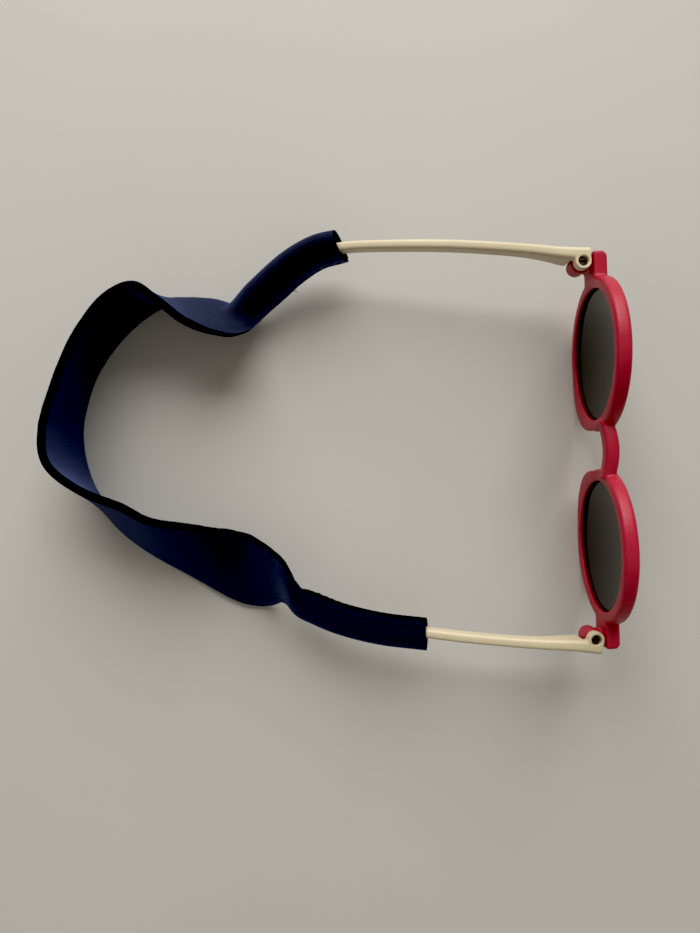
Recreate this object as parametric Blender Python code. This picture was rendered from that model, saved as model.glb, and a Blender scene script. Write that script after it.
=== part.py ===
"""A child's round sunglasses with a neoprene retainer strap sewn into a sleeve over each temple tip.

Glasses frame: +X is forward, +Y is the wearer's left, +Z is up. Its origin lies on the table, halfway
between the two hinge axes. The assembly empty moves that frame so that the whole object is centred.
"""

import math

import bmesh
import bpy
from mathutils import Matrix, Vector

MM = 0.001

# Where the middle of the hinges stands in the centred object.
ASSEMBLY_X = 68.6 * MM
ASSEMBLY_Y = -4.1 * MM

# Front frame
HINGE_HALF_SPAN = 49.75 * MM
RIM_RADIUS = 20.5 * MM
RIM_CENTRE_Y = 25.45 * MM
RIM_CENTRE_Z = 20.35 * MM
LENS_OPENING_RADIUS = 17.25 * MM
FRONT_REAR_X = 2.5 * MM
FRONT_DEPTH = 3.8 * MM
FRONT_TILT = math.radians(-2.6)
RIM_ROUNDING = 0.9 * MM
RIM_CHAMFER = 0.35 * MM
GROOVE_RADIUS = 18.1 * MM
GROOVE_REAR_X = FRONT_REAR_X + 0.8 * MM
GROOVE_WIDTH = 2.2 * MM
FLUSH_STEP = 0.1 * MM
BRIDGE_Z = 26.2 * MM
BRIDGE_RISE = 1.3 * MM
BRIDGE_BOW = 1.0 * MM
BRIDGE_HEIGHT = 4.2 * MM
BRIDGE_HALF_LENGTH = 7.4 * MM
NOSE_PAD_ANGLES = (math.radians(4.0), math.radians(76.0))
NOSE_PAD_INNER_RADIUS = 18.6 * MM
NOSE_PAD_REACH = 1.6 * MM
NOSE_PAD_DEPTH = 2.4 * MM
NOSE_PAD_ROUNDING = 0.35 * MM
END_PIECE_INNER_Y = 43.7 * MM
END_PIECE_OUTER_Y = 52.3 * MM
END_PIECE_CORNER = 1.0 * MM
END_PIECE_BOTTOM_Z = 15.8 * MM
END_PIECE_TOP_Z = 24.0 * MM

# Lenses
LENS_RADIUS = 17.8 * MM
LENS_THICKNESS = 1.6 * MM
LENS_DOME = 1.1 * MM
LENS_REAR_X = GROOVE_REAR_X + 0.3 * MM

# Hinges, each with the temple's knuckle on top of the front's
FRONT_KNUCKLE_RADIUS = 2.45 * MM
TEMPLE_KNUCKLE_RADIUS = 2.2 * MM
KNUCKLE_HALF_WEB = 1.5 * MM
FRONT_KNUCKLE_Z = (15.9 * MM, 21.2 * MM)
TEMPLE_KNUCKLE_Z = (21.5 * MM, 24.0 * MM)
KNUCKLE_NOTCH_RADIUS = 2.85 * MM
KNUCKLE_GAP = 0.3 * MM
SCREW_BORE_RADIUS = 0.95 * MM
SCREW_HEAD_BORE_RADIUS = 1.35 * MM
SCREW_HEAD_RADIUS = 1.05 * MM
SCREW_SHANK_RADIUS = 0.65 * MM
SCREW_HEAD_SEAT_Z = 22.1 * MM
SCREW_HEAD_Z = (22.4 * MM, 23.2 * MM)
SCREW_END_Z = 16.4 * MM

# Temples: distance behind the hinge axis, offset outwards, height of the middle, thickness, depth
TEMPLE_STATIONS = (
    (-2.1, 2.00, 19.85, 3.2, 8.3),
    (3.0, 2.30, 19.85, 3.2, 8.3),
    (7.5, 3.00, 20.20, 2.9, 6.6),
    (16.3, 4.40, 20.30, 2.6, 5.0),
    (34.5, 6.40, 19.30, 2.5, 4.6),
    (53.0, 7.90, 16.50, 2.4, 4.4),
    (63.0, 8.40, 14.30, 2.4, 4.4),
    (70.7, 7.70, 12.00, 2.3, 4.5),
    (75.5, 6.50, 10.40, 2.2, 4.4),
    (78.2, 5.40, 9.50, 1.7, 3.4),
)
RIGHT_TEMPLE_TURN = math.radians(12.4)

# Sleeves: place along X, along Y, height of the middle, lean of the flat tube from upright in degrees
SLEEVE_LEFT_STATIONS = (
    (-63.4, 58.5, 14.1, 18.0),
    (-70.4, 57.5, 12.1, 22.0),
    (-77.4, 54.2, 10.0, 28.0),
    (-84.9, 48.6, 8.2, 30.0),
    (-92.3, 42.4, 7.3, 24.0),
)
SLEEVE_RIGHT_STATIONS = (
    (-44.2, -47.9, 17.2, 60.0),
    (-56.2, -45.9, 15.6, 60.0),
    (-67.1, -43.0, 13.3, 58.0),
    (-76.4, -39.2, 11.1, 54.0),
    (-80.3, -38.0, 10.6, 50.0),
)
SLEEVE_LEFT_HALF_SIZES = (6.2 * MM, 3.1 * MM)
SLEEVE_RIGHT_HALF_SIZES = (5.2 * MM, 4.0 * MM)
POCKET_GAP = 0.3 * MM
POCKET_END_GAP = 0.8 * MM
THREAD_RADIUS = 0.25 * MM
THREAD_STAND_OFF = 0.6 * MM
THREAD_END_INSET = 1.5 * MM

# Strap band: lower edge X, Y and upper edge X, Y
STRAP_WIDTH = 24.0 * MM
STRAP_THICKNESS = 2.2 * MM
STRAP_STATIONS = (
    (-96.7, 47.3, -91.4, 35.8),
    (-101.0, 48.0, -96.6, 34.6),
    (-109.0, 48.4, -105.2, 37.8),
    (-115.6, 48.1, -112.5, 43.6),
    (-123.0, 44.0, -118.8, 47.6),
    (-131.0, 36.6, -126.8, 44.2),
    (-137.4, 27.6, -134.4, 34.2),
    (-141.0, 18.0, -139.6, 22.4),
    (-142.4, 10.0, -143.3, 10.2),
    (-141.4, 0.8, -142.4, 1.4),
    (-138.4, -7.6, -134.6, -5.6),
    (-131.4, -17.2, -123.6, -10.8),
    (-122.6, -24.6, -116.4, -14.8),
    (-109.8, -32.3, -104.0, -17.4),
    (-98.4, -39.2, -92.7, -20.0),
    (-90.6, -42.4, -83.4, -25.9),
    (-86.4, -42.0, -79.4, -30.6),
)
BAND_NAMES = tuple(f"strap_band_{i + 1}" for i in range(6))
BAND_CUTS = (0.0, 0.07, 0.27, 0.45, 0.69, 0.925, 1.0)
BAND_STEP = 4.0 * MM
TOUCH_GAP = 0.3 * MM

CYLINDER_SIDES = 32
RIM_STEPS = 72
CORNER_STEPS = 3


def clear_scene():
    for obj in list(bpy.data.objects):
        bpy.data.objects.remove(obj)


def plastic(name, colour, roughness, metallic=0.0):
    """A plain Principled material."""
    material = bpy.data.materials.new(name)
    material.use_nodes = True
    shader = material.node_tree.nodes["Principled BSDF"]
    shader.inputs["Base Color"].default_value = (*colour, 1.0)
    shader.inputs["Roughness"].default_value = roughness
    shader.inputs["Metallic"].default_value = metallic
    material.diffuse_color = (*colour, 1.0)
    return material


def add_object(name, bm, material=None, parent=None, location=(0.0, 0.0, 0.0), smooth=True):
    """The bmesh as a named object; without a material it is a helper for a Boolean."""
    bmesh.ops.recalc_face_normals(bm, faces=bm.faces)
    mesh = bpy.data.meshes.new(name)
    bm.to_mesh(mesh)
    bm.free()
    if smooth:
        mesh.shade_smooth()
    obj = bpy.data.objects.new(name, mesh)
    bpy.context.scene.collection.objects.link(obj)
    obj.location = location
    obj.parent = parent
    if material:
        mesh.materials.append(material)
    else:
        obj.hide_render = True
        obj.display_type = "WIRE"
    return obj


def combine(obj, other, operation):
    """An exact Boolean left live on the object."""
    modifier = obj.modifiers.new(other.name, "BOOLEAN")
    modifier.object = other
    modifier.operation = operation
    modifier.solver = "EXACT"


def loft(rings, closed=False):
    """A closed body through rings of equal point count, with its two ends filled."""
    bm = bmesh.new()
    rows = [[bm.verts.new(point) for point in ring] for ring in rings]
    count = len(rows[0])
    pairs = list(zip(rows, rows[1:]))
    if closed:
        pairs.append((rows[-1], rows[0]))
    for near, far in pairs:
        for i in range(count):
            j = (i + 1) % count
            bm.faces.new((near[i], near[j], far[j], far[i]))
    if not closed:
        bm.faces.new(rows[0])
        bm.faces.new(rows[-1])
    return bm


def curve_through(stations, step_count):
    """Catmull-Rom values through tuples of numbers, with each span in equal steps."""
    ends = (
        tuple(2 * a - b for a, b in zip(stations[0], stations[1])),
        tuple(2 * a - b for a, b in zip(stations[-1], stations[-2])),
    )
    knots = (ends[0], *stations, ends[1])
    values = []
    for before, start, end, after in zip(knots, knots[1:], knots[2:], knots[3:]):
        for step in range(step_count):
            t = step / step_count
            values.append(tuple(spline_value(*four, t) for four in zip(before, start, end, after)))
    values.append(tuple(stations[-1]))
    return values


def spline_value(a, b, c, d, t):
    return b + 0.5 * t * (c - a + t * (2 * a - 5 * b + 4 * c - d + t * (3 * (b - c) + d - a)))


def tangent_at(points, i):
    return (points[min(i + 1, len(points) - 1)] - points[max(i - 1, 0)]).normalized()


def rounded_rectangle(half_width, half_height, radius):
    """Corner points (across, up), counter-clockwise, each corner an arc."""
    points = []
    for quarter, (sx, sy) in enumerate(((1, 1), (-1, 1), (-1, -1), (1, -1))):
        for step in range(CORNER_STEPS + 1):
            angle = math.pi / 2 * (quarter + step / CORNER_STEPS)
            across = sx * (half_width - radius) + radius * math.cos(angle)
            up = sy * (half_height - radius) + radius * math.sin(angle)
            points.append((across, up))
    return points


def ellipse(half_width, half_height, count):
    turns = [2 * math.pi * i / count for i in range(count)]
    return [(half_width * math.cos(a), half_height * math.sin(a)) for a in turns]


def box(low, high):
    bm = bmesh.new()
    bmesh.ops.create_cube(bm, size=1.0)
    low, high = Vector(low), Vector(high)
    bmesh.ops.scale(bm, vec=high - low, verts=bm.verts)
    bmesh.ops.translate(bm, vec=(low + high) / 2, verts=bm.verts)
    return bm


def upright_cylinder(radius, z_range, x=0.0, y=0.0):
    bm = bmesh.new()
    turn = Matrix.Rotation(math.pi / CYLINDER_SIDES, 4, "Z")
    bmesh.ops.create_cone(
        bm, cap_ends=True, segments=CYLINDER_SIDES, radius1=radius, radius2=radius,
        depth=z_range[1] - z_range[0], matrix=turn,
    )
    bmesh.ops.translate(bm, vec=(x, y, sum(z_range) / 2), verts=bm.verts)
    return bm


def tilted(bm):
    """Leans a body with the front, about the middle of its depth at the rims' centre height."""
    pivot = Vector((FRONT_REAR_X + FRONT_DEPTH / 2, 0.0, RIM_CENTRE_Z))
    bmesh.ops.rotate(bm, cent=pivot, matrix=Matrix.Rotation(FRONT_TILT, 3, "Y"), verts=bm.verts)
    return bm


def turned_about_x(profile, centre_y, steps):
    """A ring or disc turned from (radius, x) points about a line along X."""
    rings = []
    for step in range(steps):
        angle = 2 * math.pi * step / steps
        sideways, up = math.cos(angle), math.sin(angle)
        rings.append([(x, centre_y + r * sideways, RIM_CENTRE_Z + r * up) for r, x in profile])
    return tilted(loft(rings, closed=True))


def rim_profile():
    """(radius, x) round a rim's cross-section, with the groove that holds the lens."""
    rear, front = FRONT_REAR_X, FRONT_REAR_X + FRONT_DEPTH
    profile = [(LENS_OPENING_RADIUS + RIM_CHAMFER, rear)]
    for quarter, x_middle in ((3, rear + RIM_ROUNDING), (0, front - RIM_ROUNDING)):
        for step in range(CORNER_STEPS + 1):
            angle = math.pi / 2 * (quarter + step / CORNER_STEPS)
            radius = RIM_RADIUS - RIM_ROUNDING + RIM_ROUNDING * math.cos(angle)
            profile.append((radius, x_middle + RIM_ROUNDING * math.sin(angle)))
    profile += [
        (LENS_OPENING_RADIUS + RIM_CHAMFER, front),
        (LENS_OPENING_RADIUS, front - RIM_CHAMFER),
        (LENS_OPENING_RADIUS, GROOVE_REAR_X + GROOVE_WIDTH),
        (GROOVE_RADIUS, GROOVE_REAR_X + GROOVE_WIDTH),
        (GROOVE_RADIUS, GROOVE_REAR_X),
        (LENS_OPENING_RADIUS, GROOVE_REAR_X),
        (LENS_OPENING_RADIUS, rear + RIM_CHAMFER),
    ]
    return profile


def bridge():
    """A bar that arches between the rims."""
    rings = []
    steps = 10
    half_depth = FRONT_DEPTH / 2 - FLUSH_STEP
    section = rounded_rectangle(half_depth, BRIDGE_HEIGHT / 2, RIM_ROUNDING)
    for step in range(steps + 1):
        along = 2 * step / steps - 1
        x_middle = FRONT_REAR_X + FRONT_DEPTH / 2 - BRIDGE_BOW * along * along
        z = BRIDGE_Z + BRIDGE_RISE * (1 - along * along)
        rings.append([(x_middle + a, along * BRIDGE_HALF_LENGTH, z + up) for a, up in section])
    return tilted(loft(rings))


def nose_pad(side):
    """A flare along the rim's inner lower quarter, from which the rim's rear edge runs on towards the nose."""
    rings = []
    steps = 16
    start, end = NOSE_PAD_ANGLES
    for step in range(steps + 1):
        share = step / steps
        angle = start + (end - start) * share
        swell = math.sin(math.pi * share)
        reach = RIM_RADIUS - RIM_ROUNDING + (NOSE_PAD_REACH + RIM_ROUNDING) * swell
        half_width = (reach - NOSE_PAD_INNER_RADIUS) / 2
        section = rounded_rectangle(NOSE_PAD_DEPTH / 2, half_width, NOSE_PAD_ROUNDING)
        ring = []
        for back, out in section:
            radius = NOSE_PAD_INNER_RADIUS + half_width + out
            x = FRONT_REAR_X - FLUSH_STEP + NOSE_PAD_DEPTH / 2 + back
            y = side * (RIM_CENTRE_Y - radius * math.cos(angle))
            ring.append((x, y, RIM_CENTRE_Z - radius * math.sin(angle)))
        rings.append(ring)
    return tilted(loft(rings))


def end_piece(side):
    """The block that carries the hinge, with its outer front corner cut off."""
    rear = FRONT_REAR_X + FLUSH_STEP
    front = FRONT_REAR_X + FRONT_DEPTH - FLUSH_STEP
    outline = (
        (rear, END_PIECE_INNER_Y),
        (front, END_PIECE_INNER_Y),
        (front, END_PIECE_OUTER_Y - END_PIECE_CORNER),
        (front - END_PIECE_CORNER, END_PIECE_OUTER_Y),
        (rear, END_PIECE_OUTER_Y),
    )
    heights = (END_PIECE_BOTTOM_Z, END_PIECE_TOP_Z)
    return loft([[(x, side * y, z) for x, y in outline] for z in heights])


def front_frame(parent, material):
    """Two grooved rims, the bridge, the nose pads and the end pieces with their knuckles, in one moulding."""
    frame = add_object(
        "front_frame", turned_about_x(rim_profile(), RIM_CENTRE_Y, RIM_STEPS), material, parent
    )
    additions = [("rim_right", turned_about_x(rim_profile(), -RIM_CENTRE_Y, RIM_STEPS))]
    additions.append(("bridge", bridge()))
    cuts = [("floor_cut", box((-0.02, -0.08, -0.01), (0.02, 0.08, 0.0)))]
    for side, label in ((1, "left"), (-1, "right")):
        hinge_y = side * HINGE_HALF_SPAN
        additions.append((f"nose_pad_{label}", nose_pad(side)))
        additions.append((f"end_piece_{label}", end_piece(side)))
        web = box(
            (0.0, hinge_y - KNUCKLE_HALF_WEB, FRONT_KNUCKLE_Z[0] + FLUSH_STEP),
            (FRONT_REAR_X + 1.5 * MM, hinge_y + KNUCKLE_HALF_WEB, FRONT_KNUCKLE_Z[1] - FLUSH_STEP),
        )
        additions.append((f"knuckle_web_{label}", web))
        knuckle = upright_cylinder(FRONT_KNUCKLE_RADIUS, FRONT_KNUCKLE_Z, y=hinge_y)
        additions.append((f"front_knuckle_{label}", knuckle))
        reach = (FRONT_KNUCKLE_Z[0] - MM, FRONT_KNUCKLE_Z[1] + MM)
        cuts.append((f"front_bore_{label}", upright_cylinder(SCREW_BORE_RADIUS, reach, y=hinge_y)))
    for name, bm in additions:
        combine(frame, add_object(name, bm, parent=parent), "UNION")
    for name, bm in cuts:
        combine(frame, add_object(name, bm, parent=parent), "DIFFERENCE")
    return frame


def lens(name, side, parent, material):
    """A shallow dome of even thickness, from its rear pole round its edge to its front pole."""
    radial_steps = 7
    shares = [i / radial_steps for i in range(1, radial_steps + 1)]
    rear = [(LENS_RADIUS * s, LENS_REAR_X + LENS_DOME * (1 - s * s)) for s in shares]
    front = [(r, x + LENS_THICKNESS) for r, x in reversed(rear)]
    bm = bmesh.new()
    steps = 48
    rows = []
    for radius, x in rear + front:
        row = []
        for step in range(steps):
            angle = 2 * math.pi * step / steps
            y = side * RIM_CENTRE_Y + radius * math.cos(angle)
            row.append(bm.verts.new((x, y, RIM_CENTRE_Z + radius * math.sin(angle))))
        rows.append(row)
    for near, far in zip(rows, rows[1:]):
        for i in range(steps):
            j = (i + 1) % steps
            bm.faces.new((near[i], near[j], far[j], far[i]))
    for row, x in ((rows[0], LENS_REAR_X), (rows[-1], LENS_REAR_X + LENS_THICKNESS)):
        pole = bm.verts.new((x + LENS_DOME, side * RIM_CENTRE_Y, RIM_CENTRE_Z))
        for i in range(steps):
            bm.faces.new((row[i], row[(i + 1) % steps], pole))
    return add_object(name, tilted(bm), material, parent)


def temple_path(side):
    """(middle point, half thickness, half depth) along a temple, from its hinge axis as origin."""
    found = []
    for back, outward, z, thickness, depth in curve_through(TEMPLE_STATIONS, 3):
        middle = Vector((-back, side * outward, z)) * MM
        found.append((middle, thickness * MM / 2, depth * MM / 2))
    return found


def temple_rings(side, grow=0.0, first=0):
    """Cross-sections of a temple, or of the pocket round it when they are grown."""
    path = temple_path(side)
    points = [middle for middle, _, _ in path]
    rings = []
    for i, (middle, half_thickness, half_depth) in enumerate(path):
        along = tangent_at(points, i)
        across = Vector((-along.y, along.x, 0.0)).normalized()
        up = along.cross(across)
        half_width, half_height = half_thickness + grow, half_depth + grow
        section = rounded_rectangle(half_width, half_height, half_width * 0.6)
        if i >= first:
            rings.append([middle + across * a + up * b for a, b in section])
    return rings


def temple(name, side, turn, parent, material):
    """A moulded arm with its knuckle on top of the front's, its origin on its hinge axis."""
    origin = (0.0, side * HINGE_HALF_SPAN, 0.0)
    arm = add_object(name, loft(temple_rings(side)), material, parent, origin)
    low, high = TEMPLE_KNUCKLE_Z
    web = box((-1.8 * MM, 0.0, low + FLUSH_STEP / 2), (1.8 * MM, 2.0 * MM, high - FLUSH_STEP / 2))
    bmesh.ops.scale(web, vec=(1, side, 1), verts=web.verts)
    notch_z = (FRONT_KNUCKLE_Z[0] - 2 * MM, FRONT_KNUCKLE_Z[1] + KNUCKLE_GAP - FLUSH_STEP)
    steps = (
        ("web", web, "UNION"),
        ("knuckle", upright_cylinder(TEMPLE_KNUCKLE_RADIUS, TEMPLE_KNUCKLE_Z), "UNION"),
        ("notch", upright_cylinder(KNUCKLE_NOTCH_RADIUS, notch_z), "DIFFERENCE"),
        ("bore", upright_cylinder(SCREW_BORE_RADIUS, (low - MM, high + MM)), "DIFFERENCE"),
        ("head_bore", upright_cylinder(SCREW_HEAD_BORE_RADIUS, (SCREW_HEAD_SEAT_Z, high + 2 * MM)), "DIFFERENCE"),
    )
    for label, bm, operation in steps:
        helper = add_object(f"{name}_{label}", bm, parent=arm)
        combine(arm, helper, operation)
    arm.rotation_euler.z = turn
    return arm


def hinge_screw(name, side, parent, material):
    """A shank through the knuckles under a round head sunk in the top one."""
    origin = (0.0, side * HINGE_HALF_SPAN, 0.0)
    shank = upright_cylinder(SCREW_SHANK_RADIUS, (SCREW_END_Z, SCREW_HEAD_Z[0] + FLUSH_STEP))
    screw = add_object(name, shank, material, parent, origin)
    head = add_object(f"{name}_head", upright_cylinder(SCREW_HEAD_RADIUS, SCREW_HEAD_Z), parent=screw)
    slot_low = (-2 * MM, -0.18 * MM, SCREW_HEAD_Z[1] - 0.35 * MM)
    slot = add_object(f"{name}_slot", box(slot_low, (2 * MM, 0.18 * MM, 0.03)), parent=screw)
    combine(screw, head, "UNION")
    combine(screw, slot, "DIFFERENCE")
    return screw


def sleeve_frames(stations, side):
    """(middle, along, flat direction, thick direction) down a sleeve from its mouth."""
    values = curve_through(stations, 3)
    points = [Vector(value[:3]) * MM for value in values]
    frames = []
    for i, value in enumerate(values):
        along = tangent_at(points, i)
        outward = Vector((0.0, 0.0, 1.0)).cross(along).normalized() * -side
        upright = along.cross(outward).normalized() * (1 if along.cross(outward).z > 0 else -1)
        lean = math.radians(value[3]) * side
        flat = (upright * math.cos(lean) + outward * math.sin(lean)).normalized()
        frames.append((points[i], along, flat, along.cross(flat)))
    return frames


def pocket_rings(side, turn, mouth):
    """Rings round the temple from just past its tip out to the sleeve's mouth."""
    place = Matrix.Translation((0.0, side * HINGE_HALF_SPAN, 0.0)) @ Matrix.Rotation(turn, 4, "Z")
    rings = [[place @ p for p in ring] for ring in temple_rings(side, POCKET_GAP)]
    middles = [sum(ring, Vector()) / len(ring) for ring in rings]
    inside = [ring for ring, middle in zip(rings, middles) if (middle - mouth[0]).dot(mouth[1]) > MM]
    last_shift = (middles[-1] - middles[-2]).normalized() * POCKET_END_GAP
    inside.append([p + last_shift for p in inside[-1]])
    at_mouth = [p - mouth[1] * (p - mouth[0]).dot(mouth[1]) for p in inside[0]]
    return [at_mouth, *inside]


def rings_matched(rings, target):
    """The rings in the target ring's sense, all started where the first lies nearest the target's first point."""
    ring = rings[0]
    middle = sum(ring, Vector()) / len(ring)
    axis = (target[0] - middle).cross(target[len(target) // 4] - middle)
    own = (ring[0] - middle).cross(ring[len(ring) // 4] - middle)
    if axis.dot(own) < 0:
        rings = [r[::-1] for r in rings]
    heading = (target[0] - middle).normalized()
    start = max(range(len(ring)), key=lambda i: (rings[0][i] - middle).normalized().dot(heading))
    return [r[start:] + r[:start] for r in rings]


def sleeve(name, stations, side, turn, half_sizes, parent, material):
    """A flat tube, closed at its band end, with a pocket that the temple tip sits in."""
    frames = sleeve_frames(stations, side)
    pockets = pocket_rings(side, turn, frames[0])
    count = len(pockets[0])
    section = ellipse(half_sizes[0], half_sizes[1], count)
    outer = [[m + flat * a + thick * b for a, b in section] for m, _, flat, thick in frames]
    outer.reverse()
    pockets = rings_matched(pockets, outer[-1])
    return add_object(name, loft(outer + pockets), material, parent)


def seam_thread(name, stations, side, half_sizes, seam_sign, parent, material):
    """One run of sewing thread along the sleeve's raw edge."""
    frames = sleeve_frames(stations, side)
    reach = half_sizes[0] + THREAD_STAND_OFF
    points = [m + flat * seam_sign * reach for m, _, flat, _ in frames]
    path = [points[0] + tangent_at(points, 0) * THREAD_END_INSET, *points[1:-1]]
    path.append(points[-1] - tangent_at(points, len(points) - 1) * THREAD_END_INSET)
    rings = []
    for i, point in enumerate(path):
        along = tangent_at(path, i)
        across = along.cross(Vector((0.0, 0.0, 1.0))).normalized()
        up = across.cross(along)
        rings.append([point + across * a + up * b for a, b in ellipse(THREAD_RADIUS, THREAD_RADIUS, 8)])
    return add_object(name, loft(rings), material, parent)


def strap_sections():
    """(middle, along, width direction) down the band at even steps, its lower edge on the table."""
    middles, widths = [], []
    for low_x, low_y, high_x, high_y in curve_through(STRAP_STATIONS, 8):
        flat = Vector((high_x - low_x, high_y - low_y, 0.0)) * MM
        rise = math.sqrt(STRAP_WIDTH**2 - flat.length_squared)
        width = (flat + Vector((0.0, 0.0, rise))) / STRAP_WIDTH
        corner_drop = STRAP_THICKNESS / 2 * flat.length / STRAP_WIDTH
        low = Vector((low_x * MM, low_y * MM, corner_drop + 0.05 * MM))
        middles.append(low + width * STRAP_WIDTH / 2)
        widths.append(width)
    lengths = [0.0]
    for a, b in zip(middles, middles[1:]):
        lengths.append(lengths[-1] + (b - a).length)
    return middles, widths, lengths


def value_along(values, lengths, at):
    for i in range(1, len(lengths)):
        if lengths[i] >= at or i == len(lengths) - 1:
            share = (at - lengths[i - 1]) / (lengths[i] - lengths[i - 1])
            return values[i - 1].lerp(values[i], share)
    return values[-1]


def strap_band(name, start_share, end_share, parent, material):
    """One length of the flat band, a small gap short of its neighbours."""
    middles, widths, lengths = strap_sections()
    start = start_share * lengths[-1] + TOUCH_GAP / 2
    end = end_share * lengths[-1] - TOUCH_GAP / 2
    steps = max(2, round((end - start) / BAND_STEP))
    section = rounded_rectangle(STRAP_THICKNESS / 2, STRAP_WIDTH / 2, STRAP_THICKNESS * 0.3)
    rings = []
    for step in range(steps + 1):
        at = start + (end - start) * step / steps
        middle = value_along(middles, lengths, at)
        ahead = value_along(middles, lengths, min(at + MM, lengths[-1]))
        behind = value_along(middles, lengths, max(at - MM, 0.0))
        up = value_along(widths, lengths, at).normalized()
        across = up.cross(ahead - behind).normalized()
        rings.append([middle + across * a + up * b for a, b in section])
    return add_object(name, loft(rings), material, parent)


def build():
    clear_scene()
    red = plastic("red_moulded_plastic", (0.42, 0.012, 0.035), 0.38)
    cream = plastic("cream_moulded_plastic", (0.74, 0.66, 0.47), 0.42)
    smoke = plastic("smoke_lens", (0.012, 0.013, 0.015), 0.08)
    steel = plastic("steel_screw", (0.32, 0.31, 0.30), 0.35, 1.0)
    neoprene = plastic("navy_neoprene", (0.012, 0.014, 0.05), 0.9)
    thread = plastic("black_thread", (0.006, 0.006, 0.01), 0.8)
    assembly = bpy.data.objects.new("assembly", None)
    bpy.context.scene.collection.objects.link(assembly)
    assembly.location = (ASSEMBLY_X, ASSEMBLY_Y, 0.0)
    front_frame(assembly, red)
    left = (1, 0.0, SLEEVE_LEFT_STATIONS, SLEEVE_LEFT_HALF_SIZES, -1)
    right = (-1, -RIGHT_TEMPLE_TURN, SLEEVE_RIGHT_STATIONS, SLEEVE_RIGHT_HALF_SIZES, 1)
    for label, values in (("left", left), ("right", right)):
        side, turn, stations, half_sizes, seam_sign = values
        lens(f"lens_{label}", side, assembly, smoke)
        temple(f"temple_{label}", side, turn, assembly, cream)
        hinge_screw(f"hinge_screw_{label}", side, assembly, steel)
        sleeve(f"strap_sleeve_{label}", stations, side, turn, half_sizes, assembly, neoprene)
        seam_thread(f"seam_thread_{label}", stations, side, half_sizes, seam_sign, assembly, thread)
    for name, start, end in zip(BAND_NAMES, BAND_CUTS, BAND_CUTS[1:]):
        strap_band(name, start, end, assembly, neoprene)


build()
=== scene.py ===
"""A toddler's round sunglasses with a flat neoprene retainer strap sleeved over both temple tips.

Lengths are in metres. The glasses' own frame (+X forward, +Y the wearer's left, +Z up, origin on the table
midway between the hinges) is moved by GLASSES_PLACE so that the whole object is centred.
"""

import math

import bmesh
import bpy
import numpy as np
from mathutils import Matrix, Vector, noise


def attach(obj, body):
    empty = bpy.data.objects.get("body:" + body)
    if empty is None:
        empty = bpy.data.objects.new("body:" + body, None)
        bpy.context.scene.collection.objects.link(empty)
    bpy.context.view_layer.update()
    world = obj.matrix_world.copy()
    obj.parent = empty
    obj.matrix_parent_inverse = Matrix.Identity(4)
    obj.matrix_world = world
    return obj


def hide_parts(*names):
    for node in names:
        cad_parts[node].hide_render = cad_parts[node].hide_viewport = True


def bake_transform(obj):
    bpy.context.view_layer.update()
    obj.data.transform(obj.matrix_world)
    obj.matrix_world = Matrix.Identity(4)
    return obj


MM = 0.001

GLASSES_PLACE = Vector((68.6, -4.1, 0.0)) * MM
HINGE_HALF_SPAN = 49.75 * MM
RIM_CENTRE_Y = 25.45 * MM
RIM_CENTRE_Z = 20.35 * MM
FRONT_MIDDLE_X = 4.4 * MM
FRONT_TILT = math.radians(-2.6)
FRONT_VOXEL = 0.33 * MM
TEMPLE_VOXEL = 0.24 * MM

LENS_RADIUS = 17.8 * MM
LENS_THICKNESS = 1.6 * MM
LENS_DOME = 1.1 * MM
LENS_REAR_X = 3.6 * MM
LENS_FACE_SHARE = 0.985
LENS_EDGE_ROUNDING = 0.26 * MM

STRAP_WIDTH = 24.0 * MM
STRAP_THICKNESS = 2.2 * MM
SLEEVE_THICKNESS = 1.7 * MM
SEAM_PINCH = 0.5
TOUCH_GAP = 0.04 * MM
CLOTH_STEP = 0.7 * MM
CLOTH_COLUMNS = 40
EDGE_STEPS = 4
EDGE_BULGE = 0.3 * MM

# Sleeves from mouth to band: along X, along Y, height of the middle, lean of the flat tube in degrees
SLEEVE_LEFT_STATIONS = (
    (-63.4, 58.5, 14.1, 18.0),
    (-70.4, 57.5, 12.1, 22.0),
    (-77.4, 54.2, 10.0, 28.0),
    (-84.9, 48.6, 8.2, 30.0),
    (-92.3, 42.4, 7.3, 24.0),
)
SLEEVE_RIGHT_STATIONS = (
    (-44.2, -48.0, 17.2, 60.0),
    (-56.2, -46.5, 15.6, 60.0),
    (-67.1, -43.9, 13.3, 58.0),
    (-76.4, -40.2, 11.1, 54.0),
    (-80.3, -38.9, 10.6, 50.0),
)
# Each sleeve's half flat size and half thickness, how far its mouth slants, and how far it stops short of the
# band so that the open strip can spread from the fold
SLEEVE_LEFT_HALF_SIZES = (6.2 * MM, 3.15 * MM)
SLEEVE_RIGHT_HALF_SIZES = (4.7 * MM, 3.5 * MM)
MOUTH_SLANTS = (0.3 * MM, -1.0 * MM)
SLEEVE_SHORTS = (6.0 * MM, 4.0 * MM)
MOUTH_FADE = 9.0 * MM
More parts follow.
